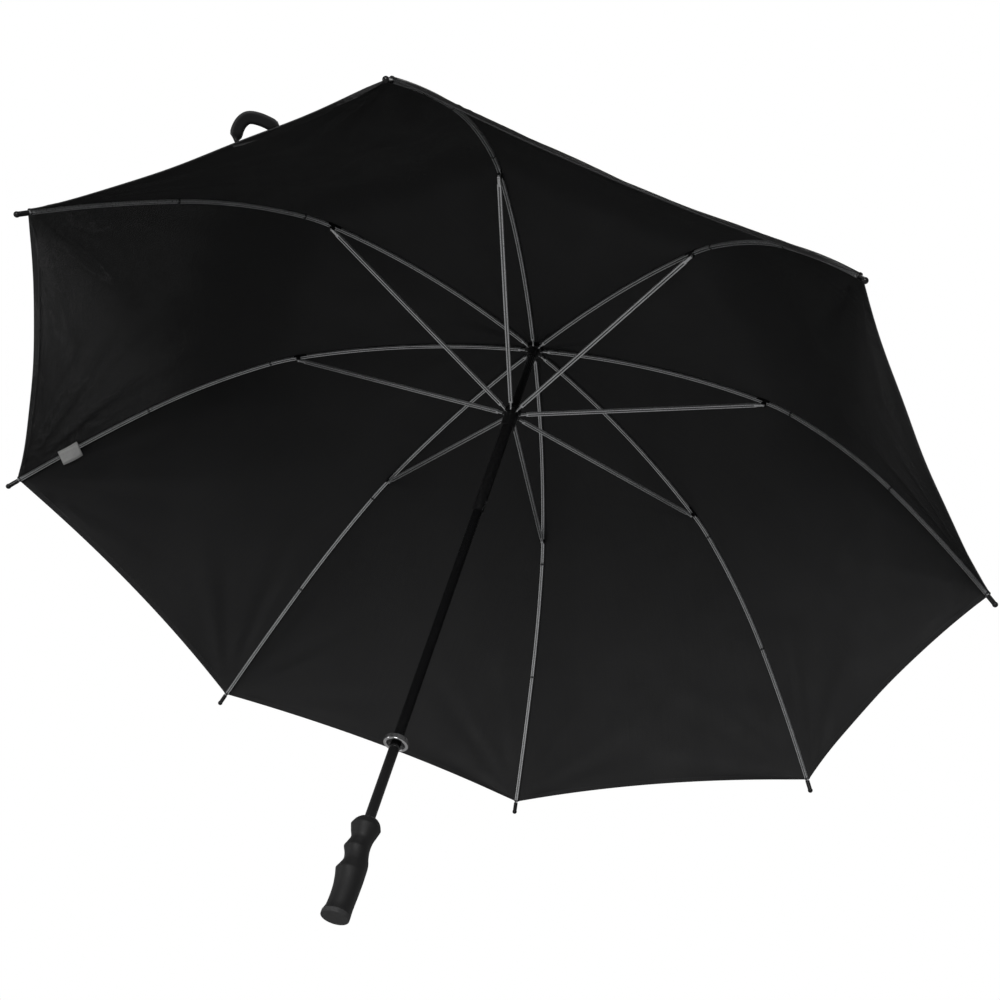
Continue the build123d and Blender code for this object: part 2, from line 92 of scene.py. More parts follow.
# Threads, strap and label
tie_places = (0.040, 0.219)
tie_turns = 4
tie_radius = 0.0031
tip_tie_place = 0.0075
tip_tie_turns = 3
thread_radius = 0.00032
strap_rib = 5
strap_azimuth = 163.0
strap_place = 0.040
strap_turn = 35.0
strap_width = 0.013
strap_tape = 0.0011
strap_span = 0.048
strap_rise = 0.0215
strap_twist = 66.0
strap_lean = 0.005
strap_gap = 0.0004
strap_foot_share = 1.12
stud_profile = (
    (0, 0), (0.0048, 0), (0.0055, 0.0004), (0.0055, 0.0009), (0.0048, 0.0015),
    (0.0030, 0.0017), (0.0026, 0.0012), (0, 0.0011),
)
label_rib = 3
label_place = 0.080
label_size = (0.028, 0.024)
label_gap = 0.0028
label_thickness = 0.00025

# Grip
grip_front = 107.0
grip_rings = (
    (0.005, 0.0148, 0.0150), (0.012, 0.0128, 0.0148), (0.030, 0.0125, 0.0154),
    (0.043, 0.0142, 0.0157), (0.0515, 0.0162, 0.0156), (0.057, 0.0136, 0.0155),
    (0.063, 0.0116, 0.0149), (0.070, 0.0128, 0.0129), (0.077, 0.0159, 0.0116),
    (0.083, 0.0136, 0.0114), (0.089, 0.0120, 0.0120), (0.096, 0.0144, 0.0138),
    (0.103, 0.0167, 0.0157), (0.109, 0.0136, 0.0132), (0.112, 0.0106, 0.0106),
)
grip_ridges = (0.0515, 0.077, 0.103)
grip_flatness = 0.97
grip_rows = 108
grip_throat = 0.0081
grip_bore = 0.0093
grip_wall_top = 0.108
grip_rim = 0.0006

# Studio
floor_height = -1.25
floor_size = 9.0
camera_place = (-1.2825, -0.4511, -0.5863)
camera_turn = (132.32, -12.39, -85.98)
camera_lens = 51.19
camera_shift = (-0.0628, 0.0118)

rib_step = 360.0 / rib_count
half_step = math.radians(rib_step / 2)


# Rib line and cloth surface ---------------------------------------------------------------------

def advance(x, z, slope, length, turn):
    """End point and slope of an arc from (x, z) that bends down by turn degrees."""
    run = length
    if abs(turn) > 1e-9:
        run = 2 * length / math.radians(turn) * math.sin(math.radians(turn / 2))
    middle = math.radians(slope + turn / 2)
    return x + run * math.cos(middle), z - run * math.sin(middle), slope + turn


chord_slope = math.degrees(math.atan2(hub.z - elbow.z, elbow.x - hub.x))
hub_slope = 2 * chord_slope - elbow_slope
inner_turn = elbow_slope - hub_slope
inner_length = ((elbow - hub).length / 2 / math.sin(math.radians(inner_turn / 2))
                * math.radians(inner_turn))
rib_length = inner_length + sum(length for length, turn in outer_bends)
cloth_end = rib_length - cloth_margin


def rib_station(distance):
    """Place and slope on the rib's line, counted from the hub pivot."""
    if distance <= inner_length:
        return advance(hub.x, hub.z, hub_slope, distance, inner_turn * distance / inner_length)
    here = (elbow.x, elbow.z, elbow_slope)
    left = distance - inner_length
    for length, turn in outer_bends:
        if left <= length:
            return advance(*here, left, turn * left / length)
        here = advance(*here, length, turn)
        left -= length
    return here


def rib_point(distance, lift):
    """Point above the rib's line, in the plane of rib 1, and the rib's slope there."""
    x, z, slope = rib_station(distance)
    angle = math.radians(slope)
    return Vector((x + lift * math.sin(angle), 0, z + lift * math.cos(angle))), slope


def panel_half_width(distance):
    return rib_point(distance, cloth_lift)[0].x * math.sin(half_step)


def panel_point(distance, across, lift):
    """Point on the taut cloth of a panel centred on +X, and the cloth's normal."""
    base, slope = rib_point(distance, cloth_lift)
    angle = math.radians(slope)
    normal = Vector((math.sin(angle), 0, math.cos(angle) * math.cos(half_step))).normalized()
    return Vector((base.x * math.cos(half_step), across, base.z)) + lift * normal, normal


def smooth(value):
    value = min(1.0, max(0.0, value))
    return value * value * (3 - 2 * value)


def cloth_swell(distance, across, panel):
    """How far the cloth stands off its straight line: sag, creases at the corners, slow waves."""
    half = panel_half_width(distance)
    share = across / half
    open_share = 1 - share * share
    sag = -panel_sag * open_share * smooth(distance / 0.30)
    waves = 0.0011 * math.sin(15 * distance + 2.3 * panel) * math.sin(4.2 * share + 1.9 * panel)
    waves += 0.0008 * math.sin(29 * distance - 1.1 * panel) * math.sin(7.7 * share + 0.7 * panel)
    creases = 0.0
    corner_half = panel_half_width(cloth_end)
    for side in (-1, 1):
        down = cloth_end - distance
        over = corner_half - side * across
        reach = math.hypot(down, over)
        angle = math.atan2(over, max(down, 1e-6))
        ripple = math.sin(17 * angle + 1.7 * panel + side)
        ripple += 0.6 * math.sin(29 * angle + 0.9 * panel - side)
        fade = (reach / 0.07) * math.exp(1 - reach / 0.07)
        creases += 0.0010 * ripple * fade * smooth((half - side * across) / 0.03)
    return sag + waves * open_share + creases


def rib_turn(rib):
    return Matrix.Rotation(math.radians((rib - 1) * rib_step), 4, "Z")


def hem_line(share):
    """Distance along the rib at which the cloth ends, for a share of the half width."""
    return cloth_end - hem_rise * (1 - share * share)


def row_distance(row, share):
    """Distance from the hub pivot of a row of the panel. The last rows are the folded hem."""
    edge = hem_line(share)
    hem_rows = ((0, 0.0), (1, 0.0006), (2, hem_width / 2), (3, hem_width - 0.0004), (4, hem_width))
    left = panel_rows - row
    if left <= hem_rows[-1][0]:
        return edge - hem_rows[left][1], hem_rows[left][1]
    body = (edge - hem_width - cloth_start) * row / (panel_rows - hem_rows[-1][0])
    return cloth_start + body, edge - cloth_start - body


# Node groups ------------------------------------------------------------------------------------

def node(tree, kind, links=None, **values):
    """Adds a node. Values go to sockets where their name is a socket's, else to the node."""
    made = tree.nodes.new(kind)
    for name, value in values.items():
        if hasattr(made, name):
            setattr(made, name, value)
    for name, value in values.items():
        key = name.replace("_", " ").title()
        if not hasattr(made, name) and key in made.inputs:
            made.inputs[key].default_value = value
    for key, source in (links or {}).items():
        tree.links.new(source, made.inputs[key])
    return made


def maths(tree, operation, first, second=None, third=None):
    """Output of a math node. Each operand is a number or a socket."""
    made = tree.nodes.new("ShaderNodeMath")
    made.operation = operation
    for socket, value in zip(made.inputs, (first, second, third)):
        if value is None:
            continue
        if isinstance(value, (int, float)):
            socket.default_value = value
        else:
            tree.links.new(value, socket)
    return made.outputs[0]


def new_group(name, inputs, outputs):
    """An empty node group with named inputs (name, kind, value) and outputs (name, kind)."""
    group = bpy.data.node_groups.new(name, "ShaderNodeTree")
    for label, kind, value in inputs:
        socket = group.interface.new_socket(label, in_out="INPUT", socket_type=kind)
        if value is not None:
            socket.default_value = value
    for label, kind in outputs:
        group.interface.new_socket(label, in_out="OUTPUT", socket_type=kind)
    return group, group.nodes.new("NodeGroupInput"), group.nodes.new("NodeGroupOutput")


FLOAT, VECTOR = "NodeSocketFloat", "NodeSocketVector"


def make_mottle():
    """Soft uneven cloud, and a finer grain."""
    group, given, out = new_group(
        "mottle", [("Place", VECTOR, None), ("Size", FLOAT, 0.03), ("Grain", FLOAT, 0.0006)],
        [("Cloud", FLOAT), ("Grain", FLOAT)])
    for size, detail, label in (("Size", 3.0, "Cloud"), ("Grain", 1.0, "Grain")):
        scale = maths(group, "DIVIDE", 1.0, given.outputs[size])
        noise = node(group, "ShaderNodeTexNoise",
                     {"Vector": given.outputs["Place"], "Scale": scale}, detail=detail)
        group.links.new(noise.outputs["Fac"], out.inputs[label])
    return group


def make_weave():
    """Plain weave: over and under threads along the two directions of the cloth's own map."""
    group, given, out = new_group(
        "weave", [("Map", VECTOR, None), ("Pitch", FLOAT, 0.0005)], [("Height", FLOAT)])
    parts = group.nodes.new("ShaderNodeSeparateXYZ")
    group.links.new(given.outputs["Map"], parts.inputs[0])
    turns = maths(group, "DIVIDE", math.pi, given.outputs["Pitch"])
    warp = maths(group, "SINE", maths(group, "MULTIPLY", parts.outputs["X"], turns))
    weft = maths(group, "SINE", maths(group, "MULTIPLY", parts.outputs["Y"], turns))
    height = maths(group, "ABSOLUTE", maths(group, "MULTIPLY", warp, weft))
    group.links.new(height, out.inputs["Height"])
    return group


def make_stitching():
    """A line of stitches at a set distance from an edge, from a map of (along, from edge)."""
    group, given, out = new_group(
        "stitching",
        [("Map", VECTOR, None), ("From Edge", FLOAT, 0.006), ("Pitch", FLOAT, 0.003),
         ("Thread", FLOAT, 0.0005)],
        [("Mask", FLOAT)])
    parts = group.nodes.new("ShaderNodeSeparateXYZ")
    group.links.new(given.outputs["Map"], parts.inputs[0])
    off = maths(group, "ABSOLUTE", maths(group, "SUBTRACT", parts.outputs["Y"],
                                         given.outputs["From Edge"]))
    line = maths(group, "LESS_THAN", off, given.outputs["Thread"])
    phase = maths(group, "FRACT", maths(group, "DIVIDE", parts.outputs["X"],
                                        given.outputs["Pitch"]))
    dash = maths(group, "LESS_THAN", phase, 0.72)
    group.links.new(maths(group, "MULTIPLY", line, dash), out.inputs["Mask"])
    return group


def make_scratches():
    """Fine drawn lines along one direction of the piece."""
    group, given, out = new_group(
        "scratches", [("Place", VECTOR, None), ("Stretch", VECTOR, (1, 1, 1)),
                      ("Size", FLOAT, 0.0004)],
        [("Lines", FLOAT)])
    scaled = group.nodes.new("ShaderNodeVectorMath")
    scaled.operation = "MULTIPLY"
    group.links.new(given.outputs["Place"], scaled.inputs[0])
    group.links.new(given.outputs["Stretch"], scaled.inputs[1])
    scale = maths(group, "DIVIDE", 1.0, given.outputs["Size"])
    noise = node(group, "ShaderNodeTexNoise",
                 {"Vector": scaled.outputs[0], "Scale": scale}, detail=2.0)
    group.links.new(noise.outputs["Fac"], out.inputs["Lines"])
    return group


def make_wear():
    """Mask on outer edges and rubbed spots."""
    group, given, out = new_group(
        "wear", [("Place", VECTOR, None), ("Amount", FLOAT, 0.5)],
        [("Mask", FLOAT)])
    geometry = group.nodes.new("ShaderNodeNewGeometry")
    edges = node(group, "ShaderNodeMapRange", {"Value": geometry.outputs["Pointiness"]},
                 from_min=0.52, from_max=0.60)
    noise = node(group, "ShaderNodeTexNoise", {"Vector": given.outputs["Place"]},
                 scale=260.0, detail=3.0)
    patches = node(group, "ShaderNodeMapRange", {"Value": noise.outputs["Fac"]},
                   from_min=0.45, from_max=0.70)
    mask = maths(group, "MULTIPLY", edges.outputs[0], patches.outputs[0])
    group.links.new(maths(group, "MULTIPLY", mask, given.outputs["Amount"]), out.inputs["Mask"])
    return group


def make_painted_groove_shade():
    """Mask in grooves and inside corners, for painted shade that darkens them."""
    group, given, out = new_group(
        "painted_groove_shade", [("Reach", FLOAT, 0.003)], [("Mask", FLOAT)])
    shade = node(group, "ShaderNodeAmbientOcclusion",
                 {"Distance": given.outputs["Reach"]}, samples=6, only_local=True)
    group.links.new(maths(group, "SUBTRACT", 1.0, shade.outputs["AO"]), out.inputs["Mask"])
    return group


mottle = make_mottle()
weave = make_weave()
stitching = make_stitching()
scratches = make_scratches()
wear = make_wear()
painted_groove_shade = make_painted_groove_shade()


# Finishes ---------------------------------------------------------------------------------------

class Finish:
    """A material under construction: its node tree, shader and Object coordinates."""

    def __init__(self, name, **values):
        self.material = bpy.data.materials.new(name)
        self.material.use_nodes = True
        self.tree = self.material.node_tree
        self.shader = self.tree.nodes["Principled BSDF"]
        self.place = self.tree.nodes.new("ShaderNodeTexCoord").outputs["Object"]
        for key, value in values.items():
            self.shader.inputs[key.replace("_", " ")].default_value = value

    def group(self, group, links=None, **values):
        made = self.tree.nodes.new("ShaderNodeGroup")
        made.node_tree = group
        for key, value in values.items():
            made.inputs[key.replace("_", " ")].default_value = value
        for key, source in (links or {}).items():
            self.tree.links.new(source, made.inputs[key])
        return made

    def uv(self, name):
        made = self.tree.nodes.new("ShaderNodeUVMap")
        made.uv_map = name
        return made.outputs["UV"]

    def ranged(self, source, low, high, start=0.0, end=1.0):
        made = self.tree.nodes.new("ShaderNodeMapRange")
        self.tree.links.new(source, made.inputs["Value"])
        for key, value in (("From Min", start), ("From Max", end), ("To Min", low),
                           ("To Max", high)):
            made.inputs[key].default_value = value
        return made.outputs["Result"]

    def blended(self, mask, first, second):
        """Colour from the first to the second by a mask. Each is a colour or a socket."""
        made = self.tree.nodes.new("ShaderNodeMix")
        made.data_type = "RGBA"
        self.tree.links.new(mask, made.inputs["Factor"])
        for socket, value in ((made.inputs[6], first), (made.inputs[7], second)):
            if isinstance(value, tuple):
                socket.default_value = (*value, 1.0)
            else:
                self.tree.links.new(value, socket)
        return made.outputs[2]

    def connect(self, socket, source):
        self.tree.links.new(source, self.shader.inputs[socket])

    def bump(self, height, distance, strength=1.0, under=None):
        made = self.tree.nodes.new("ShaderNodeBump")
        made.inputs["Distance"].default_value = distance
        made.inputs["Strength"].default_value = strength
        self.tree.links.new(height, made.inputs["Height"])
        if under is not None:
            self.tree.links.new(under, made.inputs["Normal"])
        return made.outputs["Normal"]


def zinc_steel():
    """Drawn and zinc plated strip of the ribs and stretchers."""
    finish = Finish("zinc_steel", Metallic=0.72, Roughness=0.3)
    cloud = finish.group(mottle, {"Place": finish.place}, Size=0.02, Grain=0.0008)
    lines = finish.group(scratches, {"Place": finish.place}, Stretch=(1, 1, 1), Size=0.0011)
    colour = finish.blended(finish.ranged(cloud.outputs["Cloud"], 0, 1, 0.35, 0.65),
                            (0.76, 0.77, 0.78), (0.88, 0.89, 0.90))
    # Painted shade: grooves and inside corners of the steel darkened towards near black.
    painted_shade_node = finish.group(painted_groove_shade, Reach=0.0035)
    painted_shade_amount = finish.ranged(painted_shade_node.outputs["Mask"], 0, 0.85, 0.35, 0.80)
    finish.connect("Base Color", finish.blended(painted_shade_amount, colour, (0.05, 0.05, 0.05)))
    finish.connect("Roughness", finish.ranged(lines.outputs["Lines"], 0.24, 0.42, 0.3, 0.7))
    finish.connect("Normal", finish.bump(cloud.outputs["Grain"], 0.00003))
    return finish.material


def spring_wire():
    """Drawn spring steel of the wire rings, pins, catches and blades."""
    finish = Finish("spring_wire", Metallic=1.0, Roughness=0.25)
    lines = finish.group(scratches, {"Place": finish.place}, Stretch=(1, 1, 0.2), Size=0.0006)
    finish.connect("Base Color", finish.blended(
        finish.ranged(lines.outputs["Lines"], 0, 1, 0.35, 0.65),
        (0.50, 0.51, 0.52), (0.66, 0.67, 0.68)))
    finish.connect("Roughness", finish.ranged(lines.outputs["Lines"], 0.18, 0.34, 0.3, 0.7))
    return finish.material


def gloss_paint():
    """Black stoved enamel of the shaft."""
    finish = Finish("gloss_paint", Roughness=0.16, Coat_Weight=0.6, Coat_Roughness=0.06)
    cloud = finish.group(mottle, {"Place": finish.place}, Size=0.012, Grain=0.0012)
    rubbed = finish.group(scratches, {"Place": finish.place}, Stretch=(1, 1, 0.04), Size=0.0009)
    finish.connect("Base Color", finish.blended(
        finish.ranged(rubbed.outputs["Lines"], 0, 1, 0.60, 0.78),
        (0.0055, 0.0055, 0.006), (0.014, 0.014, 0.015)))
    finish.connect("Roughness", finish.ranged(rubbed.outputs["Lines"], 0.12, 0.24, 0.3, 0.8))
    finish.connect("Normal", finish.bump(cloud.outputs["Grain"], 0.00002))
    return finish.material


def moulded_plastic(name, colour, roughness, grain):
    """Injection moulded plastic with a fine grain and paler rubbed edges."""
    finish = Finish(name)
    cloud = finish.group(mottle, {"Place": finish.place}, Size=0.006, Grain=grain)
    edges = finish.group(wear, {"Place": finish.place}, Amount=0.5)
    lighter = tuple(3.0 * c + 0.01 for c in colour)
    finish.connect("Base Color", finish.blended(edges.outputs["Mask"], colour, lighter))
    finish.connect("Roughness", finish.ranged(cloud.outputs["Cloud"], roughness - 0.07,
                                              roughness + 0.07, 0.3, 0.7))
    finish.connect("Normal", finish.bump(cloud.outputs["Grain"], 0.00005))
    return finish.material


def soft_rubber():
    """Soft-touch rubber of the grip: even, matt, with a fine stipple."""
    finish = Finish("soft_rubber", Roughness=0.62, Sheen_Weight=0.12, Sheen_Roughness=0.5)
    cloud = finish.group(mottle, {"Place": finish.place}, Size=0.009, Grain=0.0005)
    edges = finish.group(wear, {"Place": finish.place}, Amount=0.35)
    worn = finish.blended(finish.ranged(cloud.outputs["Cloud"], 0, 1, 0.35, 0.7),
                          (0.009, 0.009, 0.0095), (0.013, 0.013, 0.0135))
    finish.connect("Base Color", finish.blended(edges.outputs["Mask"], worn,
                                                (0.03, 0.03, 0.03)))
    finish.connect("Roughness", finish.ranged(cloud.outputs["Cloud"], 0.50, 0.66, 0.3, 0.7))
    finish.connect("Normal", finish.bump(cloud.outputs["Grain"], 0.00009))
    return finish.material


def bright_plate():
    """Bright plated metal of the closing ring."""
    finish = Finish("bright_plate", Metallic=1.0, Roughness=0.1)
    lines = finish.group(scratches, {"Place": finish.place}, Stretch=(0.3, 0.3, 1), Size=0.0004)
    cloud = finish.group(mottle, {"Place": finish.place}, Size=0.004, Grain=0.0006)
    finish.connect("Base Color", finish.blended(
        finish.ranged(cloud.outputs["Cloud"], 0, 1, 0.3, 0.7),
        (0.86, 0.86, 0.87), (0.93, 0.93, 0.94)))
    finish.connect("Roughness", finish.ranged(lines.outputs["Lines"], 0.07, 0.22, 0.3, 0.8))
    return finish.material


def woven_cloth(name, dark, light, pitch, stitched):
    """Black polyester: plain weave, faint streaks of the yarn, stitched hem."""
    finish = Finish(name, Roughness=0.55, Sheen_Weight=0.35, Sheen_Roughness=0.35,
                    Specular_IOR_Level=0.4)
    cloth_map = finish.uv("cloth")
    threads = finish.group(weave, {"Map": cloth_map}, Pitch=pitch)
    cloud = finish.group(mottle, {"Place": finish.place}, Size=0.05, Grain=0.0015)
    streaks = finish.group(scratches, {"Place": cloth_map}, Stretch=(1, 0.02, 1), Size=0.002)
    mixed = maths(finish.tree, "ADD", cloud.outputs["Cloud"],
                  maths(finish.tree, "MULTIPLY", streaks.outputs["Lines"], 0.5))
    colour = finish.blended(finish.ranged(mixed, 0, 1, 0.55, 0.95), dark, light)
    height = threads.outputs["Height"]
    if stitched:
        line = finish.group(stitching, {"Map": finish.uv("hem")}, From_Edge=stitch_from_edge,
                            Pitch=0.003, Thread=0.0003)
        colour = finish.blended(line.outputs["Mask"], colour, tuple(2.2 * c for c in light))
        height = maths(finish.tree, "ADD", height,
                       maths(finish.tree, "MULTIPLY", line.outputs["Mask"], 2.0))
    finish.connect("Base Color", colour)
    finish.connect("Roughness", finish.ranged(cloud.outputs["Cloud"], 0.48, 0.62, 0.3, 0.7))
    puckers = finish.bump(cloud.outputs["Grain"], 0.00025, 0.5)
    finish.connect("Normal", finish.bump(height, 0.00006, 0.8, puckers))
    return finish.material


def satin_ribbon():
    """White satin of the care label."""
    finish = Finish("satin_ribbon", Roughness=0.4, Sheen_Weight=0.3, Sheen_Roughness=0.3)
    threads = finish.group(weave, {"Map": finish.uv("cloth")}, Pitch=0.0004)
    cloud = finish.group(mottle, {"Place": finish.place}, Size=0.01, Grain=0.001)
    finish.connect("Base Color", finish.blended(
        finish.ranged(cloud.outputs["Cloud"], 0, 1, 0.3, 0.7),
        (0.70, 0.70, 0.69), (0.80, 0.80, 0.79)))
    finish.connect("Roughness", finish.ranged(cloud.outputs["Cloud"], 0.36, 0.5, 0.3, 0.7))
    finish.connect("Normal", finish.bump(threads.outputs["Height"], 0.00005))
    return finish.material


def sewing_thread():
    """Twisted black thread."""
    finish = Finish("sewing_thread", Roughness=0.6, Sheen_Weight=0.4, Sheen_Roughness=0.4)
    lines = finish.group(scratches, {"Place": finish.place}, Stretch=(1, 1, 1), Size=0.0003)
    finish.connect("Base Color", finish.blended(
        finish.ranged(lines.outputs["Lines"], 0, 1, 0.3, 0.7),
        (0.008, 0.008, 0.009), (0.022, 0.022, 0.023)))
    finish.connect("Normal", finish.bump(lines.outputs["Lines"], 0.0001))
    return finish.material


def studio_floor():
    """Plain pale floor, lifted a little where the camera sees it."""
    finish = Finish("studio_floor", Roughness=0.9, Emission_Strength=1.0)
    cloud = finish.group(mottle, {"Place": finish.place}, Size=0.8, Grain=0.01)
    finish.connect("Base Color", finish.blended(cloud.outputs["Cloud"],
                                                (0.80, 0.80, 0.80), (0.84, 0.84, 0.84)))
    seen = finish.tree.nodes.new("ShaderNodeLightPath").outputs["Is Camera Ray"]
    finish.connect("Emission Color", finish.blended(seen, (0, 0, 0), (0.42, 0.42, 0.42)))
    return finish.material


steel = zinc_steel()
wire = spring_wire()
paint = gloss_paint()
plastic = moulded_plastic("black_plastic", (0.008, 0.008, 0.0085), 0.38, 0.0006)
tip_plastic = moulded_plastic("tip_plastic", (0.007, 0.007, 0.0075), 0.30, 0.0008)
cap_plastic = moulded_plastic("cap_plastic", (0.055, 0.055, 0.056), 0.55, 0.0005)
rubber = soft_rubber()
plate = bright_plate()
cloth = woven_cloth("canopy_cloth", (0.0085, 0.0085, 0.0092), (0.0125, 0.0125, 0.0132),
                    0.0005, True)
tape = woven_cloth("strap_tape", (0.007, 0.007, 0.0075), (0.012, 0.012, 0.0125), 0.0009, False)
ribbon = satin_ribbon()
thread = sewing_thread()


# Pieces -----------------------------------------------------------------------------------------

def settle(name, bm, body, material):
    """Makes a piece of a mesh in its place, and has it ride on a body."""
    mesh = bpy.data.meshes.new(name)
    bm.to_mesh(mesh)
    bm.free()
    mesh.polygons.foreach_set("use_smooth", [True] * len(mesh.polygons))
    mesh.materials.append(material)
    piece = bpy.data.objects.new(name, mesh)
    bpy.context.scene.collection.objects.link(piece)
    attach(piece, body)
    return piece


def keep_cloth_normals(piece):
    """Shades the pieces of one cloth alike along the lines where they were parted."""
    kept = piece.data.attributes["cloth_normal"]
    piece.data.normals_split_custom_set_from_vertices([item.vector for item in kept.data])
    piece.data.attributes.remove(piece.data.attributes["cloth_normal"])


def add_second_skin(bm, thickness):
    """Gives the cloth its underside, thicker along the hem, and closes the edges."""
    normal = bm.verts.layers.float_vector["cloth_normal"]
    extra = bm.verts.layers.float["fold"]
    copied = bmesh.ops.duplicate(bm, geom=bm.verts[:] + bm.edges[:] + bm.faces[:])["geom"]
    for vert in (item for item in copied if isinstance(item, bmesh.types.BMVert)):
        vert.co -= vert[normal] * (thickness + vert[extra])
        vert[normal] = -vert[normal]
    under = [item for item in copied if isinstance(item, bmesh.types.BMFace)]
    bmesh.ops.reverse_faces(bm, faces=under)
    bmesh.ops.bridge_loops(bm, edges=[edge for edge in bm.edges if edge.is_boundary])


def lay_maps(bm, flat_maps):
    """Flat maps for the weave and the stitches, from each point's place on the cut cloth."""
    cloth_map = bm.loops.layers.uv.new("cloth")
    hem_map = bm.loops.layers.uv.new("hem")
    for face in bm.faces:
        for loop in face.loops:
            loop[cloth_map].uv, loop[hem_map].uv = flat_maps[loop.vert.index]


def face_upwards(bm):
    """Turns every face of a cloth the same way, to the sky."""
    bmesh.ops.recalc_face_normals(bm, faces=bm.faces[:])
    bm.normal_update()
    if sum(face.normal.z for face in bm.faces) < 0:
        bmesh.ops.reverse_faces(bm, faces=bm.faces[:])
    bm.normal_update()


def panel_cloth(panel):
    """One panel as a single skin, centred on +X, with maps for its weave and its hem."""
    bm = bmesh.new()
    bmesh.ops.create_grid(bm, x_segments=panel_columns, y_segments=panel_rows, size=0.5)
    normal = bm.verts.layers.float_vector.new("cloth_normal")
    fold = bm.verts.layers.float.new("fold")
    flat_maps = {}
    for vert in bm.verts:
        share = 2 * vert.co.x
        row = round((vert.co.y + 0.5) * panel_rows)
        distance, from_hem = row_distance(row, share)
        across = share * panel_half_width(distance)
        swell = cloth_swell(distance, across, panel)
        flat_maps[vert.index] = (across, distance), (across, from_hem)
        vert.co = panel_point(distance, across, cloth_thickness + swell)[0]
        vert[fold] = hem_fold if 0.0002 < from_hem < hem_width - 0.0002 else 0.0
    face_upwards(bm)
    for vert in bm.verts:
        vert[normal] = vert.normal
    lay_maps(bm, flat_maps)
    return bm


def cut_away(bm, point, facing):
    """Cuts off what lies in front of a plane."""
    bmesh.ops.bisect_plane(bm, geom=bm.verts[:] + bm.edges[:] + bm.faces[:], dist=1e-7,
                           plane_co=point, plane_no=facing, clear_outer=True)


def fold_direction(rib, side, part):
    """Direction in which the cloth beside a rib folds up, square to the rib's own line."""
    start, end = (hub, elbow) if part == "inner" else (elbow, rib_point(rib_length, 0)[0])
    along = (end - start).normalized()
    upward = Vector((-along.z, 0, along.x))
    tilt = math.radians(fold_tilt[part][side])
    direction = math.cos(tilt) * Vector((0, side, 0)) - math.sin(tilt) * upward
    turn = rib_turn(rib)
    return turn @ direction, turn @ start


def fold_with_rib(piece, rib, side, part):
    """Gives the piece a mesh of its own; the direction in which the cloth beside the rib folds is
    worked out but not used.
    """
    direction, anchor = fold_direction(rib, side, part)
    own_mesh(piece)


def make_panel(panel):
    """The four pieces of one panel. Each goes with the nearer rib, inside or outside its elbow."""
    whole = panel_cloth(panel)
    centre = Matrix.Rotation(math.radians((panel - 0.5) * rib_step), 4, "Z")
    for side in (-1, 1):
        rib = (panel if side < 0 else panel + 1) - 1
        rib = rib % rib_count + 1
        slope = math.radians(elbow_slope)
        turn = Matrix.Rotation(side * half_step, 4, "Z")
        elbow_facing = turn @ Vector((math.cos(slope), 0, -math.sin(slope)))
        for part in ("inner", "outer"):
            bm = whole.copy()
            cut_away(bm, Vector((0, 0, 0)), Vector((0, -side, 0)))
            cut_away(bm, turn @ elbow, elbow_facing if part == "inner" else -elbow_facing)
            area = sum(face.calc_area() for face in bm.faces)
            add_second_skin(bm, cloth_thickness)
            bmesh.ops.transform(bm, matrix=centre, verts=bm.verts[:])
            hand = "left" if side < 0 else "right"
            name = f"panel_{panel}_{hand}_{part}"
            piece = settle(name, bm, f"rib_{part}_{rib}", cloth)
            keep_cloth_normals(piece)
            fold_with_rib(piece, rib, -side, part)
            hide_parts("canopy_cover")
    whole.free()


def make_seam(rib, part):
    """Felled seam of two panels along a rib: a tape a little proud on both faces."""
    start, end = {"inner": (cloth_start, inner_length), "outer": (inner_length, cloth_end)}[part]
    bm = bmesh.new()
    bmesh.ops.create_grid(bm, x_segments=4, y_segments=seam_rows, size=0.5)
    normal = bm.verts.layers.float_vector.new("cloth_normal")
    bm.verts.layers.float.new("fold")
    flat_maps = {}
    for vert in bm.verts:
        distance = start + (end - start) * (vert.co.y + 0.5)
        narrow = min(1.0, panel_half_width(distance) / seam_width)
        across = vert.co.x * seam_width * narrow
        side = -1 if across < 0 else 1
        turn = Matrix.Rotation(side * half_step, 4, "Z")
        edge = 1.0 if abs(vert.co.x) < 0.49 else 0.35
        half = panel_half_width(distance)
        lift = cloth_thickness + seam_height / 2 * edge
        point, facing = panel_point(distance, side * (abs(across) - half), lift)
        from_edge = seam_width / 2 - abs(across) + stitch_from_edge - stitch_from_seam_edge
        flat_maps[vert.index] = (across, distance), (distance, from_edge)
        vert.co = turn @ point
        vert[normal] = turn @ facing
    lay_maps(bm, flat_maps)
    face_upwards(bm)
    add_second_skin(bm, cloth_thickness + seam_height)
    bmesh.ops.transform(bm, matrix=rib_turn(rib), verts=bm.verts[:])
    settle(f"seam_{part}_{rib}", bm, f"rib_{part}_{rib}", cloth)


def ring_of(radius, thickness, around=20, section=6):
    """A closed ring about Z: a small circle spun all the way."""
    bm = bmesh.new()
    bmesh.ops.create_circle(bm, segments=section, radius=thickness)
    bmesh.ops.rotate(bm, verts=bm.verts[:], cent=(0, 0, 0),
                     matrix=Matrix.Rotation(math.radians(90), 3, "X"))
    bmesh.ops.translate(bm, verts=bm.verts[:], vec=(radius, 0, 0))
    bmesh.ops.spin(bm, geom=bm.verts[:] + bm.edges[:], cent=(0, 0, 0), axis=(0, 0, 1),
                   angle=math.radians(360), steps=around, use_merge=True)
    bmesh.ops.remove_doubles(bm, verts=bm.verts[:], dist=1e-6)
    bmesh.ops.recalc_face_normals(bm, faces=bm.faces[:])
    return bm


def add_mesh(target, source, matrix):
    """Adds a placed copy of one mesh to another."""
    holder = bpy.data.meshes.new("holder")
    source.to_mesh(holder)
    holder.transform(matrix)
    target.from_mesh(holder)
    bpy.data.meshes.remove(holder)


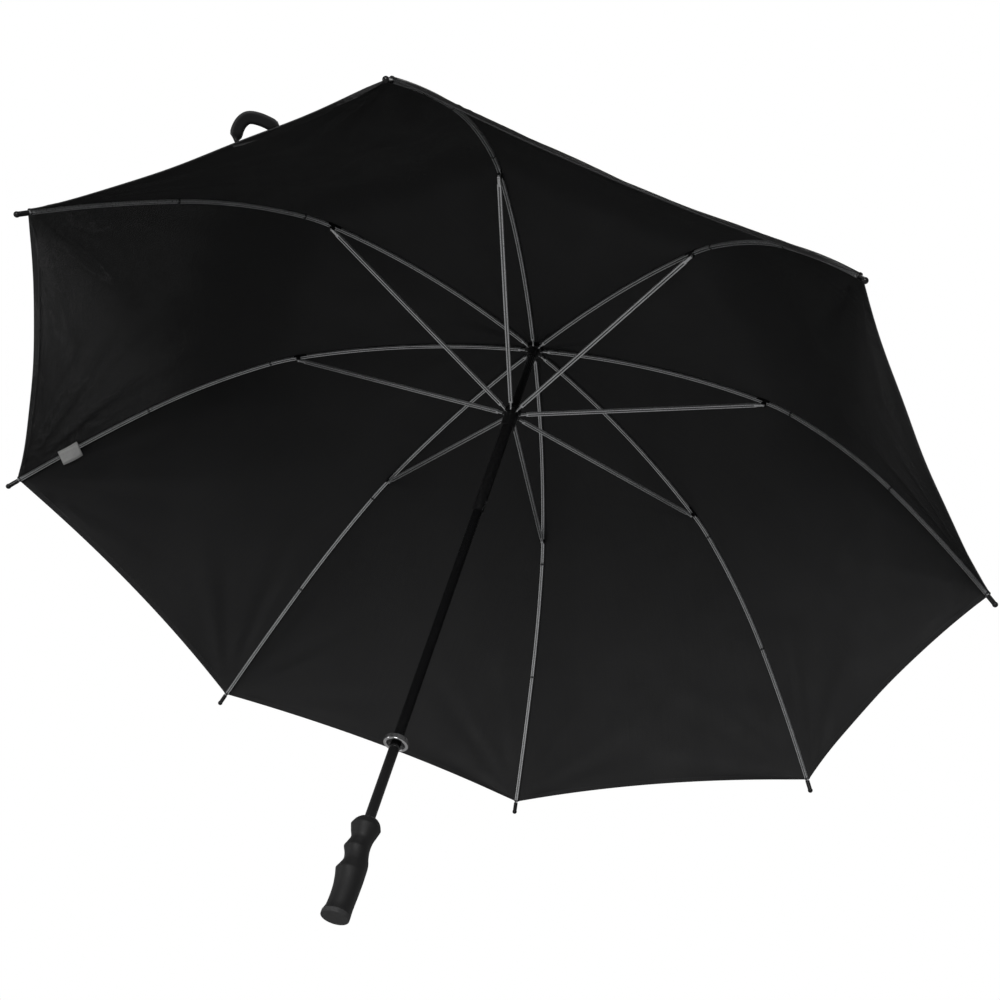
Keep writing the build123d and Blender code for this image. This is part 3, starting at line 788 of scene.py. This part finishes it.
def make_tie(rib, name, distance, turns):
    """Turns of thread that hold the cloth to the rib."""
    x, z, slope = rib_station(distance)
    loop = ring_of(tie_radius, thread_radius)
    bm = bmesh.new()
    for turn in range(turns):
        step = (turn - (turns - 1) / 2) * 2.1 * thread_radius
        lean = math.radians(5 * math.sin(2.3 * turn + rib))
        place = (rib_turn(rib) @ Matrix.Translation((x, 0, z))
                 @ Matrix.Rotation(math.radians(90 + slope), 4, "Y")
                 @ Matrix.Translation((-0.0011, 0, step)) @ Matrix.Rotation(lean, 4, "X")
                 @ Matrix.Diagonal((1.12, 0.9, 1, 1)))
        add_mesh(bm, loop, place)
    loop.free()
    body = "rib_outer" if distance > inner_length else "rib_inner"
    settle(name, bm, f"{body}_{rib}", thread)


def spun(profile, steps=96):
    """A closed shell of revolution about Z from a profile of (radius, height)."""
    bm = bmesh.new()
    verts = [bm.verts.new((radius, 0, height)) for radius, height in profile]
    edges = [bm.edges.new(pair) for pair in zip(verts, verts[1:] + verts[:1])]
    bmesh.ops.spin(bm, geom=verts + edges, cent=(0, 0, 0), axis=(0, 0, 1),
                   angle=math.radians(360), steps=steps, use_merge=True)
    bmesh.ops.remove_doubles(bm, verts=bm.verts[:], dist=1e-7)
    bmesh.ops.recalc_face_normals(bm, faces=bm.faces[:])
    return bm


def eased(height, column):
    """A grip radius at a height: a smooth curve through the rings."""
    rings = grip_rings
    k = max(0, min(len(rings) - 2, sum(1 for ring in rings if ring[0] <= height) - 1))
    low, high = rings[k], rings[k + 1]
    before, after = rings[max(0, k - 1)], rings[min(len(rings) - 1, k + 2)]
    gap = high[0] - low[0]
    t = (height - low[0]) / gap
    straight = high[column] - low[column]
    start = (high[column] - before[column]) / (high[0] - before[0]) * gap
    end = (after[column] - low[column]) / (after[0] - low[0]) * gap
    if low[0] in grip_ridges:
        start = straight
    if high[0] in grip_ridges:
        end = straight
    square, cube = t * t, t * t * t
    return ((2 * cube - 3 * square + 1) * low[column] + (cube - 2 * square + t) * start
            + (3 * square - 2 * cube) * high[column] + (cube - square) * end)


def make_grip():
    """Rubber grip with finger hollows on one side and a flared top."""
    foot, top = grip_rings[0][0], grip_rings[-1][0]
    outside = 1.0   # the outer wall is spun at this radius, then shaped
    heights = [foot + (top - foot) * k / grip_rows for k in range(grip_rows + 1)]
    profile = [(outside, height) for height in heights]
    profile += [(grip_throat, top), (grip_throat, grip_wall_top),
                (grip_bore, grip_wall_top), (grip_bore, foot)]
    bm = spun(profile)
    front = Matrix.Rotation(math.radians(grip_front), 4, "Z")
    for vert in bm.verts:
        if math.hypot(vert.co.x, vert.co.y) < outside / 2:
            continue
        ahead, behind = eased(vert.co.z, 1), eased(vert.co.z, 2)
        depth = (ahead + behind) / 2
        place = Vector(((ahead - behind) / 2 + depth * vert.co.x,
                        depth * grip_flatness * vert.co.y, vert.co.z))
        vert.co = front @ place
    bmesh.ops.recalc_face_normals(bm, faces=bm.faces[:])
    rims = [edge for edge in bm.edges
            if edge.calc_face_angle(0) > math.radians(50)
            and all(abs(v.co.z - foot) < 1e-6 for v in edge.verts)]
    bmesh.ops.bevel(bm, geom=rims, offset=grip_rim, segments=2, profile=0.5, affect="EDGES",
                    material=-1)
    piece = settle("grip_rubber", bm, "root", rubber)
    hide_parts("handle_grip")


def cloth_place(azimuth, distance, gap):
    """Place on the cloth's outer face: X down the slope, Z outwards."""
    centre = (math.floor(azimuth / rib_step) + 0.5) * rib_step
    base, normal = panel_point(distance, 0, 0)
    across = base.x * math.tan(math.radians(azimuth - centre))
    share = across / panel_half_width(distance)
    swell = -panel_sag * (1 - share * share)
    point = panel_point(distance, across, cloth_thickness + gap + swell)[0]
    down = Vector((normal.z, 0, -normal.x))
    axes = Matrix((down, Vector((0, 1, 0)), normal)).transposed().to_4x4()
    return Matrix.Rotation(math.radians(centre), 4, "Z") @ Matrix.Translation(point) @ axes


def tape_strip(name, line, width, thickness, place, body, material, twist=0.0):
    """Tape that follows a line in the YZ plane, twisted about it between its sewn ends."""
    steps = len(line) - 1
    bm = bmesh.new()
    bmesh.ops.create_grid(bm, x_segments=4, y_segments=steps, size=0.5)
    cloth_map = bm.loops.layers.uv.new("cloth")
    run = [0.0]
    for a, b in zip(line, line[1:]):
        run.append(run[-1] + math.dist(a, b))
    rows = {}
    for vert in bm.verts:
        row = round((vert.co.y + 0.5) * steps)
        rows[vert.index] = (vert.co.x * width, run[row])
        before, after = line[max(row - 1, 0)], line[min(row + 1, steps)]
        outward = Vector((0, before[1] - after[1], after[0] - before[0])).normalized()
        angle = math.radians(twist) * smooth(min(row, steps - row) / (0.12 * steps))
        across = math.cos(angle) * Vector((1, 0, 0)) + math.sin(angle) * outward
        vert.co = Vector((0, *line[row])) + vert.co.x * width * across
    for face in bm.faces:
        for loop in face.loops:
            loop[cloth_map].uv = rows[loop.vert.index]
    bmesh.ops.recalc_face_normals(bm, faces=bm.faces[:])
    bmesh.ops.solidify(bm, geom=bm.faces[:], thickness=thickness)
    bmesh.ops.recalc_face_normals(bm, faces=bm.faces[:])
    bmesh.ops.transform(bm, matrix=place, verts=bm.verts[:])
    piece = settle(name, bm, body, material)
    return piece, run[-1]


def make_strap():
    """Tape loop on the canopy with a press stud: it holds the folded umbrella together."""
    body = f"rib_outer_{strap_rib}"
    place = cloth_place(strap_azimuth, rib_length - strap_place, strap_tape + strap_gap)
    place = place @ Matrix.Rotation(math.radians(strap_turn), 4, "Z")
    half = strap_span / 2
    arch = []
    for k in range(25):
        share = k / 12 - 1
        height = strap_rise * (1 - abs(share) ** 1.7) ** 0.85
        lean = strap_lean * (1 - share * share)
        arch.append((half * share - lean, height + strap_tape))
    loop, long = tape_strip("strap_loop", arch, strap_width, strap_tape, place,
                            body, tape, strap_twist)
    foot_line = [(half * strap_foot_share * (k / 8 - 1), 0.0) for k in range(17)]
    foot, foot_long = tape_strip("strap_foot", foot_line, strap_width, strap_tape, place,
                                 body, tape)
    stud = spun(stud_profile, steps=40)
    bmesh.ops.transform(stud, matrix=place @ Matrix.Translation((0, 0, strap_tape)),
                        verts=stud.verts[:])
    snap = settle("strap_stud", stud, body, plastic)
    for piece in (loop, foot, snap):
        fold_with_rib(piece, strap_rib, -1, "outer")
    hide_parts("closing_strap")


def make_label():
    """Blank care label folded in two under its rib."""
    x, z, slope = rib_station(rib_length - label_place)
    place = (rib_turn(label_rib) @ Matrix.Translation((x, 0, z))
             @ Matrix.Rotation(math.radians(slope), 4, "Y")
             @ Matrix.Translation((0, 0, -label_gap)) @ Matrix.Rotation(math.radians(90), 4, "Z"))
    long, wide = label_size
    fold = []
    for k in range(15):
        share = k / 14
        fold.append((long * (share - 0.5), -0.0010 * math.sin(math.pi * share)))
    for k in range(15):
        share = 1 - k / 14
        fold.append((long * (share - 0.5), -0.0012 - 0.0022 * math.sin(math.pi * share * 0.8)))
    piece, run = tape_strip("label_ribbon", fold, wide, label_thickness, place,
                            f"rib_outer_{label_rib}", ribbon)
    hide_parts("care_label")


def make_rosette():
    """Round of cloth under the ferrule, with a pinked edge that stands up a little."""
    low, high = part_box("canopy_rosette")
    radius = high.x
    bm = bmesh.new()
    bmesh.ops.create_circle(bm, segments=rosette_segments, radius=rosette_hole)
    for step in range(1, rosette_rings + 1):
        rim = [edge for edge in bm.edges if edge.is_boundary or not edge.link_faces]
        if step > 1:
            rim = [edge for edge in rim
                   if all(abs(v.co.xy.length - reach) < 1e-4 for v in edge.verts)]
        made = bmesh.ops.extrude_edge_only(bm, edges=rim)["geom"]
        reach = rosette_hole + (radius - rosette_hole) * step / rosette_rings
        for vert in (item for item in made if isinstance(item, bmesh.types.BMVert)):
            outward = vert.co.xy.normalized() * reach
            vert.co.x, vert.co.y = outward.x, outward.y
    for vert in bm.verts:
        share = vert.co.xy.length / radius
        angle = math.atan2(vert.co.y, vert.co.x)
        vert.co.z = low.z + rosette_ripple * share * share * math.sin(8 * angle)
        if share > 0.98 and round(angle / math.tau * rosette_segments) % 2:
            vert.co.x *= rosette_notch
            vert.co.y *= rosette_notch
    bm.verts.index_update()
    unstitched = 0.02   # further from the edge than any stitch
    lay_maps(bm, {vert.index: (vert.co.xy, (math.atan2(vert.co.y, vert.co.x) * radius, unstitched))
                  for vert in bm.verts})
    bmesh.ops.recalc_face_normals(bm, faces=bm.faces[:])
    bmesh.ops.solidify(bm, geom=bm.faces[:], thickness=rosette_thickness)
    bmesh.ops.recalc_face_normals(bm, faces=bm.faces[:])
    piece = settle("rosette_cloth", bm, "root", cloth)
    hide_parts("canopy_rosette")


node_finishes = {
    "rib_inner": steel, "rib_outer": steel, "stretcher": steel, "joint_bracket": plastic,
    "rib_tip": tip_plastic, "shaft_tube": paint, "top_notch": plastic, "notch_wire": wire,
    "shaft_pins": wire, "runner_crown": plastic, "runner_sleeve": plastic, "runner_wire": wire,
    "upper_catch": wire, "lower_catch": wire, "catch_springs": wire, "closing_ring": plate,
    "ferrule_cup": plastic, "ferrule_spike": paint, "handle_core": plastic,
    "handle_cap": cap_plastic,
}

for name, cad_node in frame["nodes"].items():
    for start, material in node_finishes.items():
        if name.startswith(start):
            cad_node.data.materials.clear()
            cad_node.data.materials.append(material)

for panel in range(1, rib_count + 1):
    make_panel(panel)
for rib in range(1, rib_count + 1):
    for part in ("inner", "outer"):
        make_seam(rib, part)
    for letter, place in zip("ab", tie_places):
        make_tie(rib, f"tie_{letter}_{rib}", inner_length + place, tie_turns)
    make_tie(rib, f"tip_thread_{rib}", rib_length - tip_tie_place, tip_tie_turns)
make_strap()
make_label()
make_rosette()
make_grip()


# Floor, light and camera ------------------------------------------------------------------------

def make_floor():
    """Floor under and behind the umbrella."""
    bm = bmesh.new()
    bmesh.ops.create_grid(bm, x_segments=1, y_segments=1, size=floor_size)
    bmesh.ops.translate(bm, verts=bm.verts[:], vec=(0, 0, floor_height))
    mesh = bpy.data.meshes.new("floor")
    bm.to_mesh(mesh)
    bm.free()
    mesh.materials.append(studio_floor())
    floor = bpy.data.objects.new("floor", mesh)
    bpy.context.scene.collection.objects.link(floor)


def soft_light(name, place, aim, size, power):
    """Rectangular lamp at a place, turned to what it lights."""
    light = bpy.data.lights.new(name, "AREA")
    light.shape = "RECTANGLE"
    light.size, light.size_y = size
    light.energy = power
    lamp = bpy.data.objects.new(name, light)
    lamp.location = place
    lamp.rotation_euler = (Vector(aim) - Vector(place)).to_track_quat("-Z", "Y").to_euler()
    bpy.context.scene.collection.objects.link(lamp)


def make_camera():
    """Camera low on the side of -X, looking up under the cloth."""
    camera = bpy.data.cameras.new("camera")
    camera.sensor_width = 36.0
    camera.lens = camera_lens
    camera.shift_x, camera.shift_y = camera_shift
    camera.clip_start = 0.05
    holder = bpy.data.objects.new("camera", camera)
    holder.location = camera_place
    holder.rotation_euler = Euler([math.radians(angle) for angle in camera_turn])
    bpy.context.scene.collection.objects.link(holder)
    bpy.context.scene.camera = holder


def make_world(backdrop, surround):
    """White backdrop, with a dimmer white surround that lights the object from all sides."""
    world = bpy.data.worlds.new("studio")
    world.use_nodes = True
    tree = world.node_tree
    seen = tree.nodes.new("ShaderNodeLightPath").outputs["Is Camera Ray"]
    strength = maths(tree, "MULTIPLY_ADD", seen, backdrop - surround, surround)
    tree.links.new(strength, tree.nodes["Background"].inputs["Strength"])
    tree.nodes["Background"].inputs["Color"].default_value = (1, 1, 1, 1)
    bpy.context.scene.world = world


make_floor()
soft_light("key", (-2.6, -0.1, 0.05), (0.3, 0, 0.75), (1.0, 1.0), 24)
soft_light("side", (-0.9, 2.0, 0.0), (0, 0, 0.5), (0.4, 1.4), 5)
soft_light("top", (0.8, -0.8, 2.6), (0, 0, 0.8), (2.0, 2.0), 20)
make_camera()
make_world(1.0, 0.16)
bpy.context.scene.view_settings.view_transform = "Standard"
